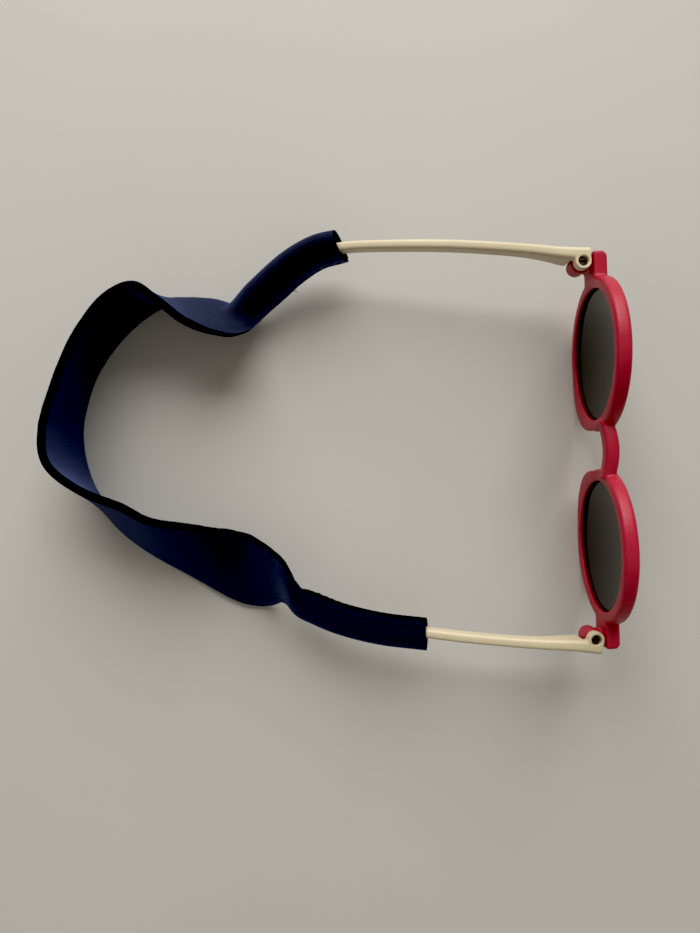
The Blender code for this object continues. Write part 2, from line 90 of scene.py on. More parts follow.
# Band from the left sleeve to the right one: lower edge X, Y and upper edge X, Y
BAND_STATIONS = (
    (-96.7, 47.3, -91.4, 35.8),
    (-101.0, 48.0, -96.6, 34.6),
    (-109.0, 48.4, -105.2, 37.8),
    (-115.6, 48.1, -112.5, 43.6),
    (-123.0, 44.0, -118.8, 47.6),
    (-131.0, 36.6, -126.8, 44.2),
    (-137.4, 27.6, -134.4, 34.2),
    (-141.0, 18.0, -139.6, 22.4),
    (-142.4, 10.0, -143.3, 10.2),
    (-141.4, 0.8, -142.4, 1.4),
    (-138.4, -7.6, -134.6, -5.6),
    (-131.4, -17.2, -123.6, -10.8),
    (-122.6, -24.6, -116.4, -14.8),
    (-109.8, -32.3, -104.0, -17.4),
    (-98.4, -39.2, -92.7, -20.0),
    (-90.6, -41.6, -83.4, -25.9),
    (-86.4, -41.2, -79.4, -30.6),
)
# Where the band is divided into pieces, as lengths along it
BAND_SPLITS = (9.0 * MM, 69.8 * MM, 143.4 * MM)
# Rows left off the band at each end, and the bulge of the fold where it opens into the band at the right
BAND_TRIMS = (8, 5)
FOLD_BULGE = (-0.2, -1.6, -0.4)
FOLD_SHARE = -0.3
FOLD_SPREAD = 0.45
BLEND_ROWS = 17

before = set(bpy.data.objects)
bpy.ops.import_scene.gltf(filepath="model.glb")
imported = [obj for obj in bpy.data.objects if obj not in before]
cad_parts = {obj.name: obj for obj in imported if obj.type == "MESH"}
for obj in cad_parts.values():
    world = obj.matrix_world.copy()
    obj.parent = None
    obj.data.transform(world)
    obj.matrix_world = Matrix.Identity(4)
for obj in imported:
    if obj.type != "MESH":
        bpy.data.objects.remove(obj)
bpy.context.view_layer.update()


# --- small helpers -----------------------------------------------------------------------------------------


def placed(x, y, z):
    """A point of the glasses' frame, given in millimetres, in the centred frame."""
    return Vector((x, y, z)) * MM + GLASSES_PLACE


def spline_through(stations, steps):
    """Catmull-Rom values through rows of numbers, as an array, each span in equal steps."""
    knots = np.array(stations, float)
    knots = np.vstack([2 * knots[0] - knots[1], knots, 2 * knots[-1] - knots[-2]])
    found = []
    for i in range(1, len(knots) - 2):
        a, b, c, d = knots[i - 1 : i + 3]
        for t in np.arange(steps) / steps:
            found.append(b + 0.5 * t * (c - a + t * (2 * a - 5 * b + 4 * c - d + t * (3 * (b - c) + d - a))))
    found.append(knots[-2])
    return np.array(found)


def unit(v):
    return v / np.maximum(np.linalg.norm(v, axis=-1, keepdims=True), 1e-12)


def lengths_of(points):
    return np.concatenate([[0.0], np.cumsum(np.linalg.norm(np.diff(points, axis=0), axis=1))])


def resampled(values, lengths, at):
    return np.stack([np.interp(at, lengths, column) for column in values.T], axis=1)


def smooth_step(t):
    t = np.clip(t, 0.0, 1.0)
    return t * t * (3 - 2 * t)


def new_object(name, mesh, *materials):
    obj = bpy.data.objects.new(name, mesh)
    bpy.context.scene.collection.objects.link(obj)
    for material in materials:
        mesh.materials.append(material)
    return obj


def mesh_from(name, points, faces):
    mesh = bpy.data.meshes.new(name)
    mesh.from_pydata([tuple(p) for p in points], [], [tuple(f) for f in faces])
    mesh.validate()
    mesh.shade_smooth()
    return mesh


def applied(obj, name):
    """The object's evaluated shape as a plain mesh, with its modifiers removed."""
    bpy.context.view_layer.update()
    graph = bpy.context.evaluated_depsgraph_get()
    shape = obj.evaluated_get(graph)
    mesh = bpy.data.meshes.new_from_object(shape, preserve_all_data_layers=True, depsgraph=graph)
    mesh.name = name
    obj.modifiers.clear()
    obj.data = mesh
    return obj


# --- shader groups and materials ---------------------------------------------------------------------------


class Tree:
    """Short ways to place and join nodes in one tree."""

    def __init__(self, tree):
        self.tree = tree

    def node(self, kind, inputs=None, **settings):
        made = self.tree.nodes.new(kind)
        for key, value in settings.items():
            setattr(made, key, value)
        for key, value in (inputs or {}).items():
            self.set(made.inputs[key], value)
        return made

    def set(self, socket, value):
        if isinstance(value, bpy.types.NodeSocket):
            self.tree.links.new(value, socket)
        else:
            socket.default_value = value

    def maths(self, operation, a, b=0.0, clamp=False):
        return self.node("ShaderNodeMath", {0: a, 1: b}, operation=operation, use_clamp=clamp).outputs[0]

    def noise(self, vector, scale, detail=3.0, roughness=0.55):
        inputs = {"Vector": vector, "Scale": scale, "Detail": detail, "Roughness": roughness}
        return self.node("ShaderNodeTexNoise", inputs).outputs["Fac"]

    def span(self, value, low, high, to_low=0.0, to_high=1.0):
        inputs = {"Value": value, "From Min": low, "From Max": high, "To Min": to_low, "To Max": to_high}
        return self.node("ShaderNodeMapRange", inputs).outputs["Result"]

    def mixed(self, share, a, b):
        made = self.node("ShaderNodeMix", data_type="RGBA")
        self.set(made.inputs["Factor"], share)
        self.set(made.inputs["A"], a)
        self.set(made.inputs["B"], b)
        return made.outputs["Result"]

    def stretched(self, vector, scale):
        return self.node("ShaderNodeMapping", {"Vector": vector, "Scale": scale}).outputs["Vector"]


def shader_group(name, inputs, outputs):
    """An empty group with named sockets: (name, kind, default) going in, (name, kind) coming out."""
    group = bpy.data.node_groups.new(name, "ShaderNodeTree")
    for label, kind, default in inputs:
        socket = group.interface.new_socket(label, in_out="INPUT", socket_type=kind)
        if default is not None:
            socket.default_value = default
    for label, kind in outputs:
        group.interface.new_socket(label, in_out="OUTPUT", socket_type=kind)
    tree = Tree(group)
    return tree, group.nodes.new("NodeGroupInput").outputs, group.nodes.new("NodeGroupOutput").inputs


FLOAT, COLOUR, VECTOR = "NodeSocketFloat", "NodeSocketColor", "NodeSocketVector"
FINE_RELIEF = 0.02 * MM


def moulded_skin_group():
    """Fine mould texture with faint flow marks and handling smears, for the plastics."""
    inputs = (
        ("Vector", VECTOR, None),
        ("Colour", COLOUR, (0.5, 0.5, 0.5, 1.0)),
        ("Smear Colour", COLOUR, (0.5, 0.5, 0.5, 1.0)),
        ("Smear Amount", FLOAT, 0.3),
        ("Roughness", FLOAT, 0.4),
    )
    outputs = (("Colour", COLOUR), ("Roughness", FLOAT), ("Height", FLOAT))
    tree, given, result = shader_group("moulded_skin", inputs, outputs)
    grain = tree.noise(given["Vector"], 4200.0, 2.0)
    flow = tree.noise(tree.stretched(given["Vector"], (1.0, 0.35, 1.0)), 160.0, 4.0)
    smear = tree.noise(given["Vector"], 70.0, 5.0, 0.65)
    share = tree.maths("MULTIPLY", tree.span(smear, 0.42, 0.7), given["Smear Amount"])
    tree.set(result["Colour"], tree.mixed(share, given["Colour"], given["Smear Colour"]))
    unevenness = tree.span(flow, 0.3, 0.7, -0.05, 0.06)
    smeared = tree.maths("ADD", unevenness, tree.maths("MULTIPLY", share, 0.12))
    tree.set(result["Roughness"], tree.maths("ADD", given["Roughness"], smeared))
    tree.set(result["Height"], tree.maths("ADD", grain, tree.maths("MULTIPLY", flow, 1.6)))
    return tree.tree


def jersey_knit_group():
    """Wales and courses of a fine knit, from UV in millimetres: U across the strap and V along it."""
    inputs = (
        ("Vector", VECTOR, None),
        ("Wale Pitch", FLOAT, 0.55),
        ("Course Pitch", FLOAT, 0.42),
    )
    outputs = (("Height", FLOAT), ("Shade", FLOAT), ("Lint", FLOAT))
    tree, given, result = shader_group("jersey_knit", inputs, outputs)
    wander = tree.span(tree.noise(given["Vector"], 0.22, 3.0), 0.0, 1.0, -0.35, 0.35)
    parts = tree.node("ShaderNodeSeparateXYZ", {0: given["Vector"]}).outputs
    across = tree.maths("DIVIDE", tree.maths("ADD", parts[0], wander), given["Wale Pitch"])
    wale = tree.maths("SINE", tree.maths("MULTIPLY", across, 2 * math.pi))
    stagger = tree.maths("MULTIPLY", tree.maths("ABSOLUTE", wale), 0.5)
    along = tree.maths("ADD", tree.maths("DIVIDE", parts[1], given["Course Pitch"]), stagger)
    course = tree.maths("SINE", tree.maths("MULTIPLY", along, 2 * math.pi))
    loops = tree.maths("ADD", tree.maths("MULTIPLY", wale, 0.62), tree.maths("MULTIPLY", course, 0.38))
    fibre = tree.noise(given["Vector"], 3.2, 3.0, 0.7)
    tree.set(result["Height"], tree.maths("ADD", loops, tree.maths("MULTIPLY", fibre, 0.9)))
    blotch = tree.noise(given["Vector"], 0.13, 3.0)
    tone = tree.maths("ADD", tree.span(loops, -1.0, 1.0, 0.62, 1.0), tree.span(blotch, 0.3, 0.7, -0.12, 0.12))
    tree.set(result["Shade"], tone)
    specks = tree.noise(given["Vector"], 1.7, 2.0, 0.8)
    tree.set(result["Lint"], tree.span(specks, 0.72, 0.8))
    return tree.tree


def open_cell_group():
    """Crumbly cut foam: open cells and torn fibres."""
    inputs = (("Vector", VECTOR, None), ("Cell Scale", FLOAT, 1800.0))
    outputs = (("Height", FLOAT), ("Shade", FLOAT))
    tree, given, result = shader_group("open_cell", inputs, outputs)
    cells = tree.node("ShaderNodeTexVoronoi", {"Vector": given["Vector"], "Scale": given["Cell Scale"]})
    torn = tree.noise(given["Vector"], 900.0, 4.0, 0.7)
    height = tree.maths("ADD", cells.outputs["Distance"], tree.maths("MULTIPLY", torn, 1.4))
    tree.set(result["Height"], height)
    tree.set(result["Shade"], tree.span(torn, 0.3, 0.7, 0.55, 1.25))
    return tree.tree


def finish_material(name):
    """(material, tree, its Principled shader)."""
    material = bpy.data.materials.new(name)
    material.use_nodes = True
    tree = Tree(material.node_tree)
    return material, tree, material.node_tree.nodes["Principled BSDF"]


def bumped(tree, shader, height, strength, distance):
    inputs = {"Height": height, "Strength": strength, "Distance": distance}
    tree.set(shader.inputs["Normal"], tree.node("ShaderNodeBump", inputs).outputs["Normal"])


def object_vector(tree):
    return tree.node("ShaderNodeTexCoord").outputs["Object"]


def strap_vector(tree):
    return tree.node("ShaderNodeUVMap", uv_map="strap_mm").outputs["UV"]


def moulded_plastic(name, skin, colour, smear, roughness, settings):
    material, tree, shader = finish_material(name)
    inputs = {
        "Vector": object_vector(tree),
        "Colour": (*colour, 1.0),
        "Smear Colour": (*smear, 1.0),
        "Smear Amount": 0.35,
        "Roughness": roughness,
    }
    group = tree.node("ShaderNodeGroup", node_tree=skin)
    for key, value in inputs.items():
        tree.set(group.inputs[key], value)
    tree.set(shader.inputs["Base Color"], group.outputs["Colour"])
    tree.set(shader.inputs["Roughness"], group.outputs["Roughness"])
    bumped(tree, shader, group.outputs["Height"], 0.35, FINE_RELIEF)
    for key, value in settings.items():
        shader.inputs[key].default_value = value
    return material


def tinted_lens():
    """Dark smoke plastic, clean and glossy, with a breath of dust."""
    material, tree, shader = finish_material("smoke_lens_tint")
    vector = object_vector(tree)
    dust = tree.span(tree.noise(vector, 900.0, 4.0, 0.7), 0.55, 0.8)
    film = tree.span(tree.noise(vector, 55.0, 4.0), 0.4, 0.7)
    share = tree.maths("ADD", tree.maths("MULTIPLY", dust, 0.04), tree.maths("MULTIPLY", film, 0.05))
    colour = tree.mixed(share, (0.005, 0.005, 0.0055, 1.0), (0.07, 0.07, 0.07, 1.0))
    tree.set(shader.inputs["Base Color"], colour)
    tree.set(shader.inputs["Roughness"], tree.span(film, 0.0, 1.0, 0.10, 0.19))
    bumped(tree, shader, tree.noise(vector, 260.0, 2.0), 0.05, FINE_RELIEF)
    shader.inputs["Specular IOR Level"].default_value = 0.12
    return material


def screw_steel():
    material, tree, shader = finish_material("dull_screw_steel")
    vector = object_vector(tree)
    scratch = tree.noise(tree.stretched(vector, (1.0, 6.0, 1.0)), 2600.0, 3.0)
    grime = tree.span(tree.noise(vector, 1500.0, 3.0), 0.45, 0.65)
    colour = tree.mixed(grime, (0.09, 0.08, 0.075, 1.0), (0.02, 0.016, 0.014, 1.0))
    tree.set(shader.inputs["Base Color"], colour)
    tree.set(shader.inputs["Roughness"], tree.span(scratch, 0.3, 0.7, 0.3, 0.6))
    shader.inputs["Metallic"].default_value = 1.0
    bumped(tree, shader, scratch, 0.4, FINE_RELIEF)
    return material


def neoprene_jersey(knit):
    """Navy knit face of the neoprene."""
    material, tree, shader = finish_material("navy_jersey_face")
    group = tree.node("ShaderNodeGroup", node_tree=knit)
    tree.set(group.inputs["Vector"], strap_vector(tree))
    navy = tree.mixed(group.outputs["Shade"], (0.001, 0.001, 0.002, 1.0), (0.006, 0.0075, 0.020, 1.0))
    linty = tree.mixed(tree.maths("MULTIPLY", group.outputs["Lint"], 0.3), navy, (0.10, 0.11, 0.2, 1.0))
    tree.set(shader.inputs["Base Color"], linty)
    shader.inputs["Roughness"].default_value = 0.82
    shader.inputs["Specular IOR Level"].default_value = 0.12
    shader.inputs["Sheen Weight"].default_value = 0.4
    shader.inputs["Sheen Roughness"].default_value = 0.5
    shader.inputs["Sheen Tint"].default_value = (0.33, 0.42, 1.0, 1.0)
    bumped(tree, shader, group.outputs["Height"], 0.5, 0.12 * MM)
    return material


def cut_foam(cells):
    """Black foam where the neoprene is cut."""
    material, tree, shader = finish_material("black_cut_foam")
    group = tree.node("ShaderNodeGroup", node_tree=cells)
    tree.set(group.inputs["Vector"], object_vector(tree))
    colour = tree.mixed(group.outputs["Shade"], (0.001, 0.001, 0.002, 1.0), (0.006, 0.006, 0.013, 1.0))
    tree.set(shader.inputs["Base Color"], colour)
    shader.inputs["Roughness"].default_value = 0.95
    shader.inputs["Specular IOR Level"].default_value = 0.08
    bumped(tree, shader, group.outputs["Height"], 0.6, 0.2 * MM)
    return material


def twisted_thread(cells):
    """Black sewing thread with a fine twist, used for stitches and stray fibres."""
    material, tree, shader = finish_material("black_sewing_thread")
    group = tree.node("ShaderNodeGroup", node_tree=cells)
    tree.set(group.inputs["Vector"], object_vector(tree))
    group.inputs["Cell Scale"].default_value = 5200.0
    colour = tree.mixed(group.outputs["Shade"], (0.001, 0.001, 0.002, 1.0), (0.005, 0.005, 0.009, 1.0))
    tree.set(shader.inputs["Base Color"], colour)
    shader.inputs["Roughness"].default_value = 0.6
    shader.inputs["Specular IOR Level"].default_value = 0.1
    bumped(tree, shader, group.outputs["Height"], 0.5, 0.05 * MM)
    return material


def table_paint():
    """Pale matt table top with faint mottling and a few specks."""
    material, tree, shader = finish_material("pale_table_top")
    vector = object_vector(tree)
    mottle = tree.noise(vector, 9.0, 5.0)
    speck = tree.span(tree.noise(vector, 420.0, 2.0, 0.4), 0.79, 0.82)
    base = tree.mixed(tree.span(mottle, 0.3, 0.7), (0.60, 0.585, 0.55, 1.0), (0.625, 0.61, 0.575, 1.0))
    colour = tree.mixed(tree.maths("MULTIPLY", speck, 0.2), base, (0.3, 0.27, 0.23, 1.0))
    tree.set(shader.inputs["Base Color"], colour)
    shader.inputs["Roughness"].default_value = 0.55
    shader.inputs["Specular IOR Level"].default_value = 0.3
    bumped(tree, shader, tree.noise(vector, 700.0, 3.0), 0.08, 0.05 * MM)
    return material


# --- moulded parts -----------------------------------------------------------------------------------------


def moulded(node, name, voxel, passes, material, body):
    """A CAD node's shape with the softened edges of a moulding."""
    bm = bmesh.new()
    bm.from_mesh(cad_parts[node].data)
    bmesh.ops.remove_doubles(bm, verts=bm.verts, dist=1e-6)
    mesh = bpy.data.meshes.new(name)
    bm.to_mesh(mesh)
    bm.free()
    obj = new_object(name, mesh)
    remesh = obj.modifiers.new("even_skin", "REMESH")
    remesh.mode = "VOXEL"
    remesh.voxel_size = voxel
    remesh.use_smooth_shade = True
    soften = obj.modifiers.new("soft_edges", "SMOOTH")
    soften.factor = 0.5
    soften.iterations = passes
    applied(obj, name)
    obj.data.materials.clear()
    obj.data.materials.append(material)
    obj.data.shade_smooth()
    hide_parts(node)
    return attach(obj, body)


def lens_disc(name, side, material):
    """A domed lens with a rounded rim: rings of points from the rear pole round to the front one."""
    segments, rings, edge_steps = 128, 14, 6
    face_radius = LENS_RADIUS * LENS_FACE_SHARE
    profile = []
    for i in range(1, rings + 1):
        share = i / rings
        profile.append((face_radius * share, LENS_DOME * (1 - share * share)))
    edge = []
    for i in range(1, edge_steps):
        angle = math.pi * i / edge_steps
        radius = face_radius + LENS_EDGE_ROUNDING * math.sin(angle)
        edge.append((radius, LENS_THICKNESS / 2 * (1 - math.cos(angle))))
    front = [(r, x + LENS_THICKNESS) for r, x in reversed(profile)]
    lean = Matrix.Rotation(FRONT_TILT, 3, "Y")
    pivot = Vector((FRONT_MIDDLE_X, 0.0, RIM_CENTRE_Z))
    points, faces = [], []

    def add(r, x, angle):
        y = side * RIM_CENTRE_Y + r * math.cos(angle)
        point = Vector((LENS_REAR_X + x, y, RIM_CENTRE_Z + r * math.sin(angle)))
        points.append(lean @ (point - pivot) + pivot + GLASSES_PLACE)

    whole = profile + edge + front
    for r, x in whole:
        for j in range(segments):
            add(r, x, 2 * math.pi * j / segments)
    for row in range(len(whole) - 1):
        for j in range(segments):
            k = (j + 1) % segments
            a, b = row * segments, (row + 1) * segments
            faces.append((a + j, b + j, b + k, a + k))
    for row, x in ((0, LENS_DOME), (len(whole) - 1, LENS_DOME + LENS_THICKNESS)):
        add(0.0, x, 0.0)
        pole = len(points) - 1
        for j in range(segments):
            ring = (row * segments + j, row * segments + (j + 1) % segments)
            faces.append((pole, *ring) if row == 0 else (pole, *reversed(ring)))
    mesh = mesh_from(name, points, faces)
    outward(mesh)
    obj = new_object(name, mesh, material)
    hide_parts(name.replace("_tinted", ""))
    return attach(obj, "glasses_front")


def outward(mesh):
    bm = bmesh.new()
    bm.from_mesh(mesh)
    bmesh.ops.remove_doubles(bm, verts=bm.verts, dist=1e-7)
    bmesh.ops.recalc_face_normals(bm, faces=bm.faces)
    bm.to_mesh(mesh)
    bm.free()


# --- the strap ---------------------------------------------------------------------------------------------


def sleeve_line(stations, side, steps=16):
    """Down a sleeve from its mouth: (middle, along, flat direction, direction towards its second arm)."""
    values = spline_through(stations, steps)
    middle = values[:, :3] * MM
    along = unit(np.gradient(middle, axis=0))
    outward_way = unit(np.cross((0.0, 0.0, 1.0), along)) * -side
    upright = np.cross(along, outward_way)
    upright *= np.sign(upright[:, 2:3])
    lean = np.radians(values[:, 3:4]) * side
    flat = unit(upright * np.cos(lean) + outward_way * np.sin(lean))
    return middle + np.array(GLASSES_PLACE), along, flat, -np.cross(along, flat)


def sleeve_section(half_flat, half_thick, thickness, columns):
    """(towards the fold, towards the second arm) over the strip's width, folded in half round the temple."""
    fold = half_flat - thickness / 2
    bulge = (half_thick - thickness / 2) * 4 / 3 * 1.02
    edge = thickness / 2 * SEAM_PINCH + TOUCH_GAP
    t = np.linspace(0.0, 1.0, 200)[:, None]
    corners = np.array(((fold, 0.0), (fold, bulge), (-fold * 0.25, bulge), (-half_flat, edge)))
    curve = (
        (1 - t) ** 3 * corners[0]
        + 3 * t * (1 - t) ** 2 * corners[1]
        + 3 * t * t * (1 - t) * corners[2]
        + t**3 * corners[3]
    )
    run = lengths_of(curve)
    shares = np.linspace(-1.0, 1.0, columns)
    section = resampled(curve, run, np.abs(shares) * run[-1])
    section[:, 1] *= np.sign(shares)
    return section


def sleeve_grid(stations, side, half_sizes, mouth_slant, short):
    """Rows of points on the sleeve's middle surface, from the mouth to where the seam ends."""
    middle, along, flat, second = sleeve_line(stations, side)
    run = lengths_of(middle)
    at = np.arange(0.0, run[-1] - short, CLOTH_STEP)
    middle, along, flat, second = (resampled(v, run, at) for v in (middle, along, flat, second))
    section = sleeve_section(*half_sizes, SLEEVE_THICKNESS, CLOTH_COLUMNS + 1)
    fold_way = flat * side
    grid = (
        middle[:, None]
        + fold_way[:, None] * section[None, :, :1]
        + second[:, None] * section[None, :, 1:]
    )
    fade = 1 - smooth_step(at / MOUTH_FADE)
    slant = mouth_slant * (section[:, 0] / half_sizes[0] * 0.5 + 0.5)
    grid += along[:, None] * (fade[:, None, None] * slant[None, :, None])
    return grid


def band_grid():
    """Rows over the open band, from its left end to its right one."""
    values = spline_through(BAND_STATIONS, 24) * MM
    flat = np.concatenate([values[:, 2:] - values[:, :2], np.zeros((len(values), 1))], axis=1)
    spread = np.linalg.norm(flat, axis=1)
    rise = np.sqrt(STRAP_WIDTH**2 - spread**2)
    way = flat.copy()
    way[:, 2] = rise
    way /= STRAP_WIDTH
    low = np.concatenate([values[:, :2], np.zeros((len(values), 1))], axis=1)
    low[:, 2] = STRAP_THICKNESS / 2 * spread / STRAP_WIDTH + 0.05 * MM
    low += np.array(GLASSES_PLACE)
    middle = low + way * STRAP_WIDTH / 2
    run = lengths_of(middle)
    at = np.linspace(0.0, run[-1], round(run[-1] / CLOTH_STEP) + 1)
    middle, way = resampled(middle, run, at), unit(resampled(way, run, at))
    heading = unit(np.gradient(middle, axis=0))
    face = unit(np.cross(heading, way))
    shares = np.linspace(-1.0, 1.0, CLOTH_COLUMNS + 1)
    ripple = np.array([noise.noise(Vector((a * 45.0, 3.1, 0.0))) for a in at])
    bow = (0.25 + 0.5 * ripple)[:, None, None] * MM * (1 - shares**2)[None, :, None]
    spread_out = way[:, None] * (shares * STRAP_WIDTH / 2)[None, :, None]
    return middle[:, None] + spread_out + face[:, None] * bow, at


def joining_rows(before, after, swell, centre):
    """Rows that carry each column from one grid to the next without a crease, swollen round one share."""
    a, b = before[-1], after[0]
    gap = np.linalg.norm(b - a, axis=1, keepdims=True)
    leave = unit(before[-1] - before[-3]) * gap
    arrive = unit(after[2] - after[0]) * gap
    shares = np.linspace(-1.0, 1.0, before.shape[1])[:, None]
    push = np.array(swell) * MM * np.exp(-(((shares - centre) / FOLD_SPREAD) ** 2))
    rows = round(float(gap.mean()) / CLOTH_STEP)
    found = []
    for i in range(1, rows):
        t = i / rows
        found.append(
            (2 * t**3 - 3 * t**2 + 1) * a
            + (t**3 - 2 * t**2 + t) * leave
            + (-2 * t**3 + 3 * t**2) * b
            + (t**3 - t**2) * arrive
            + math.sin(math.pi * t) ** 2 * push
        )
    return np.array(found)


def whole_strap():
    """(rows of points over the whole strap, thickness at each point, the rows where it is divided)."""
    slants, shorts = MOUTH_SLANTS, SLEEVE_SHORTS
    left = sleeve_grid(SLEEVE_LEFT_STATIONS, 1, SLEEVE_LEFT_HALF_SIZES, slants[0], shorts[0])
    right = sleeve_grid(SLEEVE_RIGHT_STATIONS, -1, SLEEVE_RIGHT_HALF_SIZES, slants[1], shorts[1])[::-1]
    band, at = band_grid()
    kept = slice(BAND_TRIMS[0], -BAND_TRIMS[1])
    core, at = band[kept], at[kept]
    first = joining_rows(left, core, (0.0, 0.0, 0.0), 0.0)
    last = joining_rows(core, right, FOLD_BULGE, FOLD_SHARE)
    grid = np.concatenate([left, first, core, last, right])
    start = len(left) + len(first)
    cuts = [0, len(left)]
    cuts += [start + int(np.searchsorted(at, split)) for split in BAND_SPLITS]
    cuts += [start + len(core) + len(last), len(grid) - 1]
    sleeve_share = np.ones(len(grid))
    sleeve_share[start : start + len(core)] = 0.0
    padded = np.pad(sleeve_share, BLEND_ROWS // 2, mode="edge")
    sleeve_share = np.convolve(padded, np.ones(BLEND_ROWS) / BLEND_ROWS, mode="valid")
    thickness = STRAP_THICKNESS + (SLEEVE_THICKNESS - STRAP_THICKNESS) * sleeve_share
    near_seam = smooth_step((np.abs(np.linspace(-1.0, 1.0, CLOTH_COLUMNS + 1)) - 0.6) / 0.4)
    thickness = thickness[:, None] * (1 - (1 - SEAM_PINCH) * sleeve_share[:, None] * near_seam[None])
    return grid, thickness, cuts


def ragged(grid):
    """Small unevenness of the cut edges, strongest at the edge itself."""
    shares = np.abs(np.linspace(-1.0, 1.0, grid.shape[1]))
    near_edge = smooth_step((shares - 0.86) / 0.14)
    outward_way = np.zeros_like(grid)
    outward_way[:, -1] = unit(grid[:, -1] - grid[:, -4])
    outward_way[:, 0] = unit(grid[:, 0] - grid[:, 3])
    result = grid.copy()
    for column, edge in ((0, 0), (-1, 1)):
        for row in range(len(grid)):
            p = Vector(grid[row, column])
            wave = noise.noise(p * 260.0 + Vector((edge * 9.0, 0.0, 0.0))) * 0.22
            crumb = noise.noise(p * 1100.0) * 0.16
            reach = (wave + crumb) * MM
            span = slice(0, 6) if edge == 0 else slice(-6, None)
            result[row, span] += outward_way[row, column] * reach * near_edge[span, None]
    return result


def rounded_edge(middle, face, half, column, inner, way):
    """Points over the cut edge at one column, for every row, from one face (way +1 or -1) to the other."""
    out = unit(middle[:, column] - middle[:, inner])
    found = []
    for step in range(1, EDGE_STEPS):
        turn = step / EDGE_STEPS * math.pi
        aside = face[:, column] * half[:, column] * (way * math.cos(turn))
        found.append((middle[:, column] + aside + out * EDGE_BULGE * math.sin(turn))[:, None])
    return found


def wall_faces(count, around, columns):
    """Quads round the strip from row to row, and 1 for those on a cut edge or 0 for the knit faces."""
    edges = set(range(columns - 1, columns + EDGE_STEPS - 1))
    edges |= set(range(2 * columns + EDGE_STEPS - 2, around))
    faces, kinds = [], []
    for i in range(count - 1):
        near, far = i * around, (i + 1) * around
        for j in range(around):
            k = (j + 1) % around
            faces.append((near + j, far + j, far + k, near + k))
            kinds.append(int(j in edges))
    return faces, kinds


def end_faces(count, around, columns):
    """The faces that close the strip at its first and last rows."""
    faces = []
    for base, flip in ((0, False), ((count - 1) * around, True)):
        for j in range(columns - 1):
            back = columns - 1 + EDGE_STEPS + (columns - 1 - j) - 1
            quad = (base + j, base + j + 1, base + back, base + back + 1)
            faces.append(quad if flip else quad[::-1])
        for side_start in (columns - 1, 2 * columns + EDGE_STEPS - 2):
            loop = tuple(base + (side_start + k) % around for k in range(EDGE_STEPS + 1))
            faces.append(loop if flip else loop[::-1])
    return faces


def cloth_piece(name, grid, thickness, rows, materials):
    """One length of the strap as a closed body: two faces, rounded cut edges and an end at each cut."""
    part = slice(rows[0], rows[1] + 1)
    face = unit(np.cross(np.gradient(grid, axis=0), np.gradient(grid, axis=1)))[part]
    middle, half = grid[part], thickness[part][..., None] / 2
    ring = [middle + face * half]
    ring += rounded_edge(middle, face, half, -1, -3, 1)
    ring.append((middle - face * half)[:, ::-1])
    ring += rounded_edge(middle, face, half, 0, 2, -1)
    rings = np.concatenate(ring, axis=1)
    count, around = rings.shape[:2]
    columns = middle.shape[1]
    walls, kinds = wall_faces(count, around, columns)
    ends = end_faces(count, around, columns)
    mesh = bpy.data.meshes.new(name)
    mesh.from_pydata([tuple(p) for p in rings.reshape(-1, 3)], [], walls + ends)
    mesh.polygons.foreach_set("material_index", kinds + [1] * len(ends))
    mesh.shade_smooth()
    add_strap_uv(mesh, rows[0], around, columns)
    mark_cap_edges(mesh, len(walls))
    return new_object(name, mesh, *materials)


def add_strap_uv(mesh, first, around, columns):
    """UV in millimetres: across the strap, and along it from its left mouth."""
    width, edge_width = STRAP_WIDTH / MM, EDGE_STEPS * 0.5
    edge_places = np.arange(1, EDGE_STEPS) * 0.5
    lower_start = columns + EDGE_STEPS - 1
    across = np.empty(around)
    across[:columns] = np.linspace(0.0, width, columns)
    across[columns:lower_start] = width + edge_places
    across[lower_start : lower_start + columns] = width + edge_width + np.linspace(0.0, width, columns)
    across[lower_start + columns :] = 2 * width + edge_width + edge_places
    loops = np.empty(len(mesh.loops), np.int32)
    mesh.loops.foreach_get("vertex_index", loops)
    u = across[loops % around]
    v = (first + loops // around) * CLOTH_STEP / MM
    starts = np.empty(len(mesh.polygons), np.int32)
    mesh.polygons.foreach_get("loop_start", starts)
    totals = np.empty(len(mesh.polygons), np.int32)
    mesh.polygons.foreach_get("loop_total", totals)
    for start, total in zip(starts, totals):
        corners = u[start : start + total]
        if total == 4 and corners.max() - corners.min() > width / 2:
            corners[corners < width / 2] += 2 * (width + edge_width)
    layer = mesh.uv_layers.new(name="strap_mm")
    layer.data.foreach_set("uv", np.stack([u, v], axis=1).astype(np.float32).ravel())


def mark_cap_edges(mesh, first_cap):
    """Keeps the shading crisp where an end meets the faces round it."""
    bm = bmesh.new()
    bm.from_mesh(mesh)
    bm.faces.ensure_lookup_table()
    caps = set(bm.faces[first_cap:])
    for edge in bm.edges:
        inside = sum(face in caps for face in edge.link_faces)
        if inside == 1:
            edge.smooth = False
    bm.to_mesh(mesh)
    bm.free()


def bend_between(piece, body_a, body_b, first_row, last_row):
    """Bakes the piece's placement into its mesh."""
    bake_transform(piece)


def geometry_group(name, sockets):
    """A geometry tree with its mesh in, its mesh out and named inputs: (label, kind, default)."""
    group = bpy.data.node_groups.new(name, "GeometryNodeTree")
    group.interface.new_socket("Geometry", in_out="INPUT", socket_type="NodeSocketGeometry")
    group.interface.new_socket("Geometry", in_out="OUTPUT", socket_type="NodeSocketGeometry")
    for label, kind, default in sockets:
        socket = group.interface.new_socket(label, in_out="INPUT", socket_type=kind)
        if default is not None:
            socket.default_value = default
    tree = Tree(group)
    return tree, group.nodes.new("NodeGroupInput").outputs, group.nodes.new("NodeGroupOutput").inputs


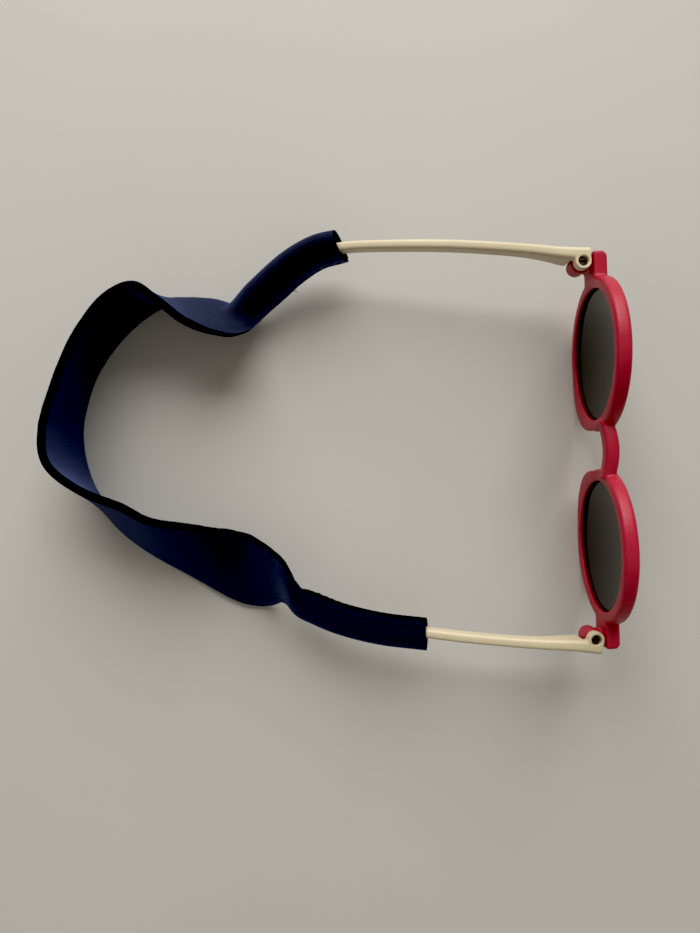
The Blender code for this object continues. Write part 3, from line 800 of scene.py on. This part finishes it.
def stitch_tree():
    """Rounded stitches laid end to end along the given lines."""
    sockets = (
        ("Stitch Pitch", FLOAT, 2.0 * MM),
        ("Stitch Length", FLOAT, 1.5 * MM),
        ("Thread Radius", FLOAT, 0.17 * MM),
        ("Wander", FLOAT, 0.12),
        ("Thread", "NodeSocketMaterial", None),
        ("Seed", "NodeSocketInt", 7),
    )
    tree, given, result = geometry_group("stitch_run", sockets)
    line = tree.node("GeometryNodeMeshToCurve", {0: given["Geometry"]}).outputs[0]
    pitch = {"Curve": line, "Length": given["Stitch Pitch"]}
    even = tree.node("GeometryNodeResampleCurve", pitch, mode="LENGTH")
    bead = tree.node("GeometryNodeCurvePrimitiveLine")
    half = tree.maths("MULTIPLY", given["Stitch Length"], 0.5)
    minus = tree.maths("MULTIPLY", half, -1.0)
    tree.set(bead.inputs["Start"], tree.node("ShaderNodeCombineXYZ", {"Z": minus}).outputs[0])
    tree.set(bead.inputs["End"], tree.node("ShaderNodeCombineXYZ", {"Z": half}).outputs[0])
    fine = tree.node("GeometryNodeResampleCurve", {"Curve": bead.outputs[0], "Count": 7})
    place = tree.node("GeometryNodeSplineParameter").outputs["Factor"]
    arch = tree.maths("SINE", tree.maths("MULTIPLY", place, math.pi))
    swell = tree.maths("ADD", tree.maths("MULTIPLY", arch, 0.75), 0.25)
    lift = tree.maths("MULTIPLY", tree.maths("MULTIPLY", arch, given["Thread Radius"]), 0.8)
    raised = tree.node("GeometryNodeSetPosition", {"Geometry": fine.outputs[0]})
    tree.set(raised.inputs["Offset"], tree.node("ShaderNodeCombineXYZ", {"X": lift}).outputs[0])
    section = {"Resolution": 6, "Radius": given["Thread Radius"]}
    outline = tree.node("GeometryNodeCurvePrimitiveCircle", section).outputs[0]
    sweep = {"Curve": raised.outputs[0], "Profile Curve": outline, "Scale": swell, "Fill Caps": True}
    body = tree.node("GeometryNodeCurveToMesh", sweep)
    tangent = tree.node("GeometryNodeInputTangent").outputs[0]
    turn = tree.node("FunctionNodeAlignRotationToVector", {"Vector": tangent}, axis="Z").outputs[0]
    stray = tree.node("FunctionNodeRandomValue", {"Seed": given["Seed"]}, data_type="FLOAT")
    tree.set(stray.inputs[2], tree.maths("MULTIPLY", given["Wander"], -1.0))
    tree.set(stray.inputs[3], given["Wander"])
    askew = tree.node("ShaderNodeCombineXYZ", {"X": stray.outputs[1]}).outputs[0]
    turning = {"Rotation": turn, "Rotate By": askew}
    turned = tree.node("FunctionNodeRotateRotation", turning, rotation_space="LOCAL")
    laid = tree.node(
        "GeometryNodeInstanceOnPoints",
        {"Points": even.outputs[0], "Instance": body.outputs[0], "Rotation": turned.outputs[0]},
    )
    real = tree.node("GeometryNodeRealizeInstances", {0: laid.outputs[0]}).outputs[0]
    finished = tree.node("GeometryNodeSetMaterial", {0: real, "Material": given["Thread"]})
    tree.set(result[0], finished.outputs[0])
    return tree.tree


def fibre_tree():
    """Short stray fibres standing out of a cut edge, each a three-sided spike."""
    sockets = (
        ("Fibre Spacing", FLOAT, 0.5 * MM),
        ("Fibre Length", FLOAT, 0.55 * MM),
        ("Fibre Radius", FLOAT, 0.035 * MM),
        ("Fibre", "NodeSocketMaterial", None),
        ("Seed", "NodeSocketInt", 3),
    )
    tree, given, result = geometry_group("edge_fibres", sockets)
    line = tree.node("GeometryNodeMeshToCurve", {0: given["Geometry"]}).outputs[0]
    spacing = {"Curve": line, "Length": given["Fibre Spacing"]}
    even = tree.node("GeometryNodeResampleCurve", spacing, mode="LENGTH")
    shape = {"Radius Bottom": given["Fibre Radius"], "Depth": given["Fibre Length"]}
    spike = tree.node("GeometryNodeMeshCone", {"Vertices": 3, "Radius Top": 0.0, **shape})
    named = tree.node("GeometryNodeInputNamedAttribute", {"Name": "edge_way"}, data_type="FLOAT_VECTOR")
    way = named.outputs[0]
    stray = tree.node("FunctionNodeRandomValue", {"Seed": given["Seed"]}, data_type="FLOAT_VECTOR")
    stray.inputs[0].default_value = (-0.9, -0.9, -0.9)
    stray.inputs[1].default_value = (0.9, 0.9, 0.9)
    heading = tree.node("ShaderNodeVectorMath", {0: way, 1: stray.outputs[0]}, operation="ADD").outputs[0]
    turn = tree.node("FunctionNodeAlignRotationToVector", {"Vector": heading}, axis="Z").outputs[0]
    size = tree.node("FunctionNodeRandomValue", {"Seed": given["Seed"]}, data_type="FLOAT")
    size.inputs[2].default_value = 0.3
    size.inputs[3].default_value = 1.5
    grown = tree.node("ShaderNodeCombineXYZ", {"X": 1.0, "Y": 1.0, "Z": size.outputs[1]}).outputs[0]
    laid = tree.node(
        "GeometryNodeInstanceOnPoints",
        {"Points": even.outputs[0], "Instance": spike.outputs[0], "Rotation": turn, "Scale": grown},
    )
    real = tree.node("GeometryNodeRealizeInstances", {0: laid.outputs[0]}).outputs[0]
    finished = tree.node("GeometryNodeSetMaterial", {0: real, "Material": given["Fibre"]})
    tree.set(result[0], finished.outputs[0])
    return tree.tree


def lines_object(name, lines, ways=None):
    """Open lines of edges, each point optionally with the way the cut edge faces."""
    points, edges = [], []
    for line in lines:
        start = len(points)
        points += [tuple(p) for p in line]
        edges += [(start + i, start + i + 1) for i in range(len(line) - 1)]
    mesh = bpy.data.meshes.new(name)
    mesh.from_pydata(points, edges, [])
    if ways is not None:
        attribute = mesh.attributes.new("edge_way", "FLOAT_VECTOR", "POINT")
        attribute.data.foreach_set("vector", np.concatenate(ways).astype(np.float32).ravel())
    return new_object(name, mesh)


def grown_along(obj, tree, values):
    """Runs a geometry tree on the object and keeps the result as its plain mesh."""
    modifier = obj.modifiers.new("grown", "NODES")
    modifier.node_group = tree
    sockets = [item for item in tree.interface.items_tree if item.in_out == "INPUT"]
    names = {item.name: item.identifier for item in sockets}
    for label, value in values.items():
        modifier[names[label]] = value
    applied(obj, obj.name)
    if "edge_way" in obj.data.attributes:
        obj.data.attributes.remove(obj.data.attributes["edge_way"])
    obj.data.shade_smooth()
    return obj


def kept_above_table(obj):
    """Lays fibre tips that reach below the table top on it."""
    points = np.empty(len(obj.data.vertices) * 3, np.float32)
    obj.data.vertices.foreach_get("co", points)
    points[2::3] = np.maximum(points[2::3], 0.02 * MM)
    obj.data.vertices.foreach_set("co", points)
    obj.data.update()


def seam_lines(grid, thickness, rows, inset):
    """Two lines on a sleeve's outer face, a little in from the raw edges and just clear of the cloth."""
    along = np.gradient(grid, axis=0)
    across = np.gradient(grid, axis=1)
    face = unit(np.cross(along, across))
    found = []
    for column in (inset, grid.shape[1] - 1 - inset):
        lift = thickness[:, column, None] / 2 + 0.06 * MM
        line = grid[:, column] + face[:, column] * lift
        found.append(line[rows[0] + 3 : rows[1] - 2])
    return found


def edge_lines(grid, rows):
    """The two cut edges between two rows, and the way each faces."""
    part = slice(rows[0], rows[1] + 1)
    lines, ways = [], []
    for edge, inner in ((0, 3), (-1, -4)):
        way = unit(grid[part, edge] - grid[part, inner])
        lines.append(grid[part, edge] + way * 0.25 * MM)
        ways.append(way)
    return lines, ways


def mouth_line(grid, row, inward):
    """The cut rim of a sleeve's mouth, and the way it faces."""
    way = unit(grid[row] - grid[row + inward])
    return [grid[row]], [way]


def stray_thread(name, points, radius, material):
    """A loose thread end as a thin tube through the points."""
    curve = bpy.data.curves.new(name, "CURVE")
    curve.dimensions = "3D"
    curve.bevel_depth = radius
    curve.bevel_resolution = 1
    curve.use_fill_caps = True
    line = curve.splines.new("POLY")
    smooth = spline_through([tuple(p) for p in points], 6)
    line.points.add(len(smooth) - 1)
    for point, place in zip(line.points, smooth):
        point.co = (*place, 1.0)
    obj = new_object(name, curve)
    bpy.context.view_layer.update()
    mesh = bpy.data.meshes.new_from_object(obj.evaluated_get(bpy.context.evaluated_depsgraph_get()))
    bpy.data.objects.remove(obj)
    mesh.name = name
    mesh.materials.clear()
    outward(mesh)
    mesh.shade_smooth()
    return new_object(name, mesh, material)


# --- making everything -------------------------------------------------------------------------------------


def make_glasses():
    skin = moulded_skin_group()
    red = moulded_plastic(
        "red_moulded_front", skin, (0.42, 0.014, 0.042), (0.50, 0.05, 0.085), 0.42,
        {"Coat Weight": 0.05, "Coat Roughness": 0.3, "Specular IOR Level": 0.32},
    )
    cream = moulded_plastic(
        "cream_moulded_arm", skin, (0.70, 0.61, 0.42), (0.60, 0.50, 0.33), 0.40,
        {"Subsurface Weight": 0.08, "Subsurface Radius": (0.002, 0.0015, 0.001), "Subsurface Scale": 1.0},
    )
    smoke = tinted_lens()
    steel = screw_steel()
    moulded("front_frame", "front_moulding", FRONT_VOXEL, 7, red, "glasses_front")
    for label, side in (("left", 1), ("right", -1)):
        arm = f"temple_{label}"
        moulded(arm, f"{arm}_moulding", TEMPLE_VOXEL, 5, cream, arm)
        lens_disc(f"lens_{label}_tinted", side, smoke)
        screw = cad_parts[f"hinge_screw_{label}"]
        screw.data.materials.clear()
        screw.data.materials.append(steel)


# Each length of the strap: its bodies, the nodes it stands for and how it is held
STRAP_LENGTHS = (
    ("strap_sleeve_left", ("temple_left",), ("strap_sleeve_left",), "folded"),
    ("strap_left_turn", ("temple_left", "strap_left_run"), ("strap_band_1",), "laid"),
    ("strap_left_run", ("strap_left_run", "strap_back_run"), ("strap_band_2", "strap_band_3"), "laid"),
    ("strap_back_run", ("strap_back_run", "strap_right_run"), ("strap_band_4", "strap_band_5"), "laid"),
    ("strap_right_turn", ("strap_right_end", "temple_right"), ("strap_band_6",), "laid"),
    ("strap_sleeve_right", ("temple_right",), ("strap_sleeve_right",), "folded"),
)


def make_fibres(name, grid, rows, fuzz, thread, seed):
    """Stray fibres along both cut edges of a length, and round the mouth of a sleeve."""
    lines, ways = edge_lines(grid, rows)
    if rows[0] == 0:
        mouth = mouth_line(grid, 0, 2)
    elif rows[1] == len(grid) - 1:
        mouth = mouth_line(grid, rows[1], -2)
    else:
        mouth = ([], [])
    fibres = lines_object(name, lines + mouth[0], ways + mouth[1])
    grown_along(fibres, fuzz, {"Fibre": thread, "Seed": seed})
    kept_above_table(fibres)
    return fibres


def make_strap():
    cells = open_cell_group()
    jersey = neoprene_jersey(jersey_knit_group())
    foam = cut_foam(cells)
    thread = twisted_thread(cells)
    grid, thickness, cuts = whole_strap()
    grid = ragged(grid)
    fuzz = fibre_tree()
    for index, (name, bodies, nodes, held) in enumerate(STRAP_LENGTHS):
        rows = cuts[index], cuts[index + 1]
        cloth = cloth_piece(f"{name}_cloth", grid, thickness, rows, (jersey, foam))
        fibres = make_fibres(f"{name}_fibres", grid, rows, fuzz, thread, index + 3)
        for piece in (cloth, fibres):
            if len(bodies) == 1:
                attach(piece, bodies[0])
            else:
                bend_between(piece, *bodies, grid[rows[0]], grid[rows[1]])
        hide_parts(*nodes)
    make_seams(grid, thickness, cuts, thread)


def make_seams(grid, thickness, cuts, thread):
    """The stitches that close each sleeve, and the loose end of the left one's thread."""
    stitches = stitch_tree()
    for label, first, last in (("left", cuts[0], cuts[1]), ("right", cuts[-2], cuts[-1])):
        run = lines_object(f"seam_stitches_{label}", seam_lines(grid, thickness, (first, last), 3))
        grown_along(run, stitches, {"Thread": thread, "Seed": 11})
        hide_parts(f"seam_thread_{label}")
        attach(run, f"temple_{label}")
    root = grid[cuts[1] - 14, 1]
    steps = ((0, 0, 0.2), (0.9, -0.9, 0.9), (0.6, -1.9, 1.1), (1.5, -2.2, 0.7))
    curl = [root + np.array(step) * MM for step in steps]
    loose = stray_thread("seam_thread_end", curl, 0.11 * MM, thread)
    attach(loose, "temple_left")


def make_table():
    reach = 1.6
    corners = [(-reach, -reach, 0), (reach, -reach, 0), (reach, reach, 0), (-reach, reach, 0)]
    new_object("table_top", mesh_from("table_top", corners, [(0, 1, 2, 3)]), table_paint())


def soft_window(name, place, size, power, colour):
    """A soft rectangular light that faces the middle of the table."""
    data = bpy.data.lights.new(name, "AREA")
    data.shape = "RECTANGLE"
    data.size, data.size_y = size
    data.energy = power
    data.color = colour
    lamp = bpy.data.objects.new(name, data)
    bpy.context.scene.collection.objects.link(lamp)
    lamp.location = place
    lamp.rotation_euler = (-Vector(place)).to_track_quat("-Z", "Y").to_euler()


def make_light():
    soft_window("window", (0.0, 1.15, 0.80), (1.3, 1.1), 24.0, (1.0, 0.985, 0.955))
    soft_window("room_glow", (-0.3, -0.5, 1.4), (1.6, 1.6), 1.2, (1.0, 0.92, 0.80))
    world = bpy.data.worlds.new("room")
    world.use_nodes = True
    background = world.node_tree.nodes["Background"]
    background.inputs["Color"].default_value = (1.0, 0.95, 0.87, 1.0)
    background.inputs["Strength"].default_value = 0.21
    bpy.context.scene.world = world
    view = bpy.context.scene.view_settings
    view.view_transform = "Standard"
    view.use_curve_mapping = True
    view.curve_mapping.black_level = (0.014, 0.014, 0.016)
    view.curve_mapping.update()


def make_camera():
    data = bpy.data.cameras.new("overhead_camera")
    data.lens = 27.0
    data.sensor_width = 36.0
    data.clip_start = 0.01
    camera = bpy.data.objects.new("overhead_camera", data)
    bpy.context.scene.collection.objects.link(camera)
    camera.location = (5.6 * MM, -6.15 * MM, 207 * MM)
    camera.rotation_euler = (0.0, 0.0, math.radians(-1.95))
    bpy.context.scene.camera = camera


make_camera()
make_table()
make_light()
make_glasses()
make_strap()

bpy.context.view_layer.update()
